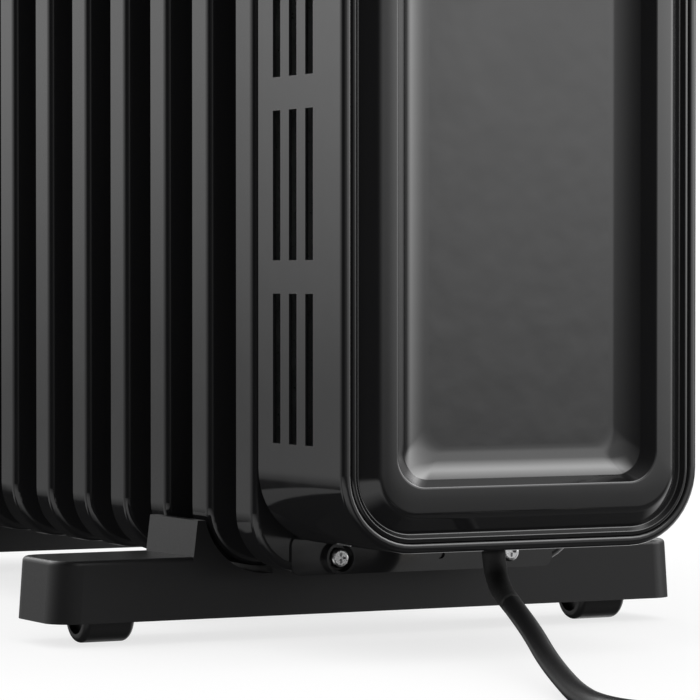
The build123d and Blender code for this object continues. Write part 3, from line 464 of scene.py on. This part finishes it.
def make_face():
    """The pressed face as one smooth sheet: bead, groove, raised ring and deep recess."""
    made = bmesh.new()
    section = round_section(FACE_SECTION)
    sheets = []
    for shift in (0.0, FACE_SHEET):
        sheets.append([
            rounded_loop(made, side, end, depth + shift, outline_corner(side))
            for side, end, depth in section
        ])
    for rings in sheets:
        for first, second in zip(rings, rings[1:]):
            bridge(made, first, second)
        made.faces.new(rings[-1]).material_index = 1
    bridge(made, sheets[0][0], sheets[1][0])
    bmesh.ops.recalc_face_normals(made, faces=made.faces)
    mesh = bpy.data.meshes.new("pressed_face")
    made.to_mesh(mesh)
    made.free()
    mesh.shade_smooth()
    face = own_piece("pressed_face", mesh, "cover_paint", "heater")
    mesh.materials.append(MATERIALS["recess_paint"])
    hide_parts("face_panel")
    return face


def coil_points():
    """The coil: turns that wind in on the floor, climb, and wind out above."""
    points = []
    for step in range(TURNS * TURN_POINTS + 1):
        turn = step / TURN_POINTS
        half = TURNS / 2
        radius = COIL_TURN - TURN_STEP * (turn if turn < half else TURNS - turn)
        angle = 2 * math.pi * turn - math.pi / 2
        climb = min(max((turn - half) / CLIMB_TURNS + 0.5, 0.0), 1.0)
        from_tie = math.remainder(angle, 2 * math.pi)
        lift = TIE_LIFT * math.exp(-((from_tie / TIE_REACH) ** 2))
        x = COIL_X + radius * math.cos(angle)
        y = COIL_Y + radius * math.sin(angle)
        points.append((x, y, CORD_FLOOR + LAYER_RISE * climb + lift))
    return points


def make_cord():
    """The cord from its gland over the floor, round its coil and to its plug."""
    curve = bpy.data.curves.new("mains_cord", "CURVE")
    curve.dimensions = "3D"
    spline = curve.splines.new("NURBS")
    points = [*CORD_ROUTE, *coil_points(), *LEAD_OUT]
    spline.points.add(len(points) - 1)
    for control, (x, y, z) in zip(spline.points, points):
        control.co = (x, y + SEAM_Y, z, 1.0)
    spline.order_u = 3
    spline.use_endpoint_u = True
    spline.resolution_u = 6
    curve.bevel_depth = CORD_RADIUS
    curve.bevel_resolution = 6
    curve.use_fill_caps = True
    cord = own_piece("mains_cord", curve, "cord_rubber", "heater")
    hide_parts("power_cord", "cord_coil")
    return cord


def centre_line(cord):
    """The points that the cord's own spline passes, from its exit on."""
    bare = cord.copy()
    bare.data = cord.data.copy()
    bare.data.bevel_depth = 0.0
    mesh = bpy.data.meshes.new_from_object(bare)
    line = [vertex.co.copy() for vertex in mesh.vertices]
    bpy.data.meshes.remove(mesh)
    bpy.data.objects.remove(bare)
    return line


def tube_along(name, line, radii, slot, body, sides=32):
    """A closed sleeve round a line, with its own radius at each point."""
    made = bmesh.new()
    rings = []
    for index, (point, radius) in enumerate(zip(line, radii)):
        ahead = line[min(index + 1, len(line) - 1)]
        behind = line[max(index - 1, 0)]
        along = (ahead - behind).normalized()
        side = along.cross(ASIDE).normalized()
        other = along.cross(side)
        ring = []
        for step in range(sides):
            angle = 2 * math.pi * step / sides
            outward = math.cos(angle) * side + math.sin(angle) * other
            ring.append(made.verts.new(point + radius * outward))
        rings.append(ring)
    for first, second in zip(rings, rings[1:]):
        bridge(made, first, second)
    made.faces.new(rings[0])
    made.faces.new(list(reversed(rings[-1])))
    bmesh.ops.recalc_face_normals(made, faces=made.faces)
    mesh = bpy.data.meshes.new(name)
    made.to_mesh(mesh)
    made.free()
    mesh.shade_smooth()
    return own_piece(name, mesh, slot, body)


def ink_bar(made, centre, front, angle, reach, width):
    """A thin raised bar along a radius of a dial, at an angle clockwise from the top."""
    along = Vector((math.sin(angle), 0.0, math.cos(angle)))
    across = Vector((math.cos(angle), 0.0, -math.sin(angle))) * width / 2
    corners = []
    for y in (front - INK, front + INK):
        for distance, side in ((reach[0], -1), (reach[0], 1), (reach[1], 1), (reach[1], -1)):
            place = centre + distance * along + side * across
            corners.append(made.verts.new((place.x, y, place.z)))
    bridge(made, corners[:4], corners[4:])
    made.faces.new(corners[:4])
    made.faces.new(corners[4:])


def ink_digit(made, digit, place):
    """An upright digit that faces the front, centred on a place."""
    text = bpy.data.curves.new("digit", "FONT")
    text.body = str(digit)
    text.size = DIGIT_SIZE
    text.extrude = INK
    text.resolution_u = 4
    text.align_x = "CENTER"
    text.align_y = "CENTER"
    holder = bpy.data.objects.new("digit", text)
    mesh = bpy.data.meshes.new_from_object(holder)
    mesh.transform(Matrix.Translation(place) @ Matrix.Rotation(math.pi / 2, 4, "X"))
    made.from_mesh(mesh)
    bpy.data.meshes.remove(mesh)
    bpy.data.objects.remove(holder)


def ink_piece(name, made, body):
    """The finished marks as one piece in pale ink."""
    bmesh.ops.remove_doubles(made, verts=made.verts, dist=INK / 100)
    bmesh.ops.recalc_face_normals(made, faces=made.faces)
    mesh = bpy.data.meshes.new(name)
    made.to_mesh(mesh)
    made.free()
    own_piece(name, mesh, "switch_plastic", body)
    mesh.materials[0] = MATERIALS["mark_paint"]


def make_marks():
    """Ticks and numbers on the control plate, and a line along each knob's pointer."""
    plate_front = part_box("control_plate")[0].y
    plate_marks = bmesh.new()
    for knob, body, count in DIALS:
        low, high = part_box(knob)
        centre = (low + high) / 2
        for number in range(count):
            angle = number * DIAL_STEP
            ink_bar(plate_marks, centre, plate_front, angle, TICK_REACH, TICK_WIDTH)
            place = centre + DIGIT_REACH * Vector((math.sin(angle), 0.0, math.cos(angle)))
            ink_digit(plate_marks, number, Vector((place.x, plate_front, place.z)))
        line = bmesh.new()
        ink_bar(line, centre, low.y, 0.0, LINE_REACH, LINE_WIDTH)
        ink_piece(body + "_line", line, body)
    ink_piece("dial_marks", plate_marks, "heater")


# ---------------------------------------------------------------- studio

def make_camera():
    """The camera at the viewing angle, low in front of the left corner."""
    data = bpy.data.cameras.new("camera")
    data.lens = LENS_MM
    data.sensor_width = SENSOR_MM
    data.clip_start = 0.05
    data.clip_end = 20.0
    camera = bpy.data.objects.new("camera", data)
    bpy.context.collection.objects.link(camera)
    camera.location = EYE
    sight = Vector((SIGHT[0], SIGHT[1], -SIGHT_DROP))
    camera.rotation_euler = sight.to_track_quat("-Z", "Y").to_euler()
    bpy.context.scene.camera = camera


def make_floor():
    """A plain pale floor, which the gloss paint doesn't mirror."""
    mesh = bpy.data.meshes.new("floor")
    signs = ((-1, -1), (1, -1), (1, 1), (-1, 1))
    corners = [(x * FLOOR_REACH, y * FLOOR_REACH, 0) for x, y in signs]
    mesh.from_pydata(corners, [], [(0, 1, 2, 3)])
    floor = bpy.data.objects.new("floor", mesh)
    bpy.context.collection.objects.link(floor)
    floor.visible_glossy = False
    material, tree, shader, place = new_material("floor")
    grain = noise(tree, place, FLOOR_SCALE)
    colour = tint(tree, grain, (0.27, 0.27, 0.27), (0.29, 0.29, 0.29))
    tree.links.new(colour, shader.inputs["Base Color"])
    shader.inputs["Emission Color"].default_value = (1.0, 1.0, 1.0, 1.0)
    shader.inputs["Emission Strength"].default_value = FLOOR_GLOW
    shader.inputs["Roughness"].default_value = 0.9
    shader.inputs["Specular IOR Level"].default_value = 0.0
    mesh.materials.append(material)


def make_studio():
    """A white studio whose soft boxes show only in reflections: two long ones that face
    the cover's front and side, one overhead, one at the right and a low one all round."""
    world = bpy.data.worlds.new("studio")
    bpy.context.scene.world = world
    world.use_nodes = True
    tree = world.node_tree
    background = tree.nodes["Background"]
    split = tree.nodes.new("ShaderNodeSeparateXYZ")
    direction = tree.nodes.new("ShaderNodeTexCoord").outputs["Generated"]
    tree.links.new(direction, split.inputs["Vector"])
    x, y, z = split.outputs

    def along(across_x, across_y):
        """How far the direction points along a level one."""
        first = combine(tree, "MULTIPLY", x, across_x)
        return combine(tree, "ADD", first, combine(tree, "MULTIPLY", y, across_y))

    def steps(table):
        """The values of a table's steps."""
        return [span(tree, directions[name], *limits) for name, *limits in table]

    def joined(operation, values):
        """All of these values added or multiplied."""
        result = values[0]
        for value in values[1:]:
            result = combine(tree, operation, result, value)
        return result

    right = along(SIGHT[1], SIGHT[0])
    directions = {"z": z, "side": along(-SIGHT[0], SIGHT[1]), "right": right}
    directions["off_centre"] = combine(tree, "ABSOLUTE", right, 0.0)

    # The side box's lower edge is higher towards its right end.
    from_left = combine(tree, "SUBTRACT", right, combine(tree, "MULTIPLY", z, z))
    directions["above_edge"] = combine(tree, "SUBTRACT", z, span(tree, from_left, *SIDE_BOX_EDGE))

    front_light = joined("ADD", steps(FRONT_BOX_STEPS))
    tables = (OVERHEAD, SIDE_BOX, RIGHT_BOX, LOW_FILL)
    boxes = [joined("MULTIPLY", steps(table)) for table in tables]
    boxes.append(joined("MULTIPLY", [front_light, *steps(FRONT_BOX)]))
    mirrored = joined("ADD", boxes)

    path = tree.nodes.new("ShaderNodeLightPath")
    glossy = combine(tree, "MULTIPLY", mirrored, path.outputs["Is Glossy Ray"])
    plain = combine(tree, "SUBTRACT", 1.0, path.outputs["Is Glossy Ray"])
    total = combine(tree, "ADD", glossy, combine(tree, "MULTIPLY", plain, DAYLIGHT))
    tree.links.new(total, background.inputs["Strength"])
    background.inputs["Color"].default_value = (1.0, 1.0, 1.0, 1.0)
    bpy.context.scene.view_settings.view_transform = "Standard"


make_camera()
make_floor()
make_studio()
paint_nodes()

make_face()
make_marks()
cord = make_cord()
line = centre_line(cord)
relief_step = (RELIEF_RADII[1] - RELIEF_RADII[0]) / (RELIEF_POINTS - 1)
relief_radii = [RELIEF_RADII[0] + relief_step * index for index in range(RELIEF_POINTS)]
relief = tube_along("strain_relief", line[:RELIEF_POINTS], relief_radii, "dark_rubber", "heater")
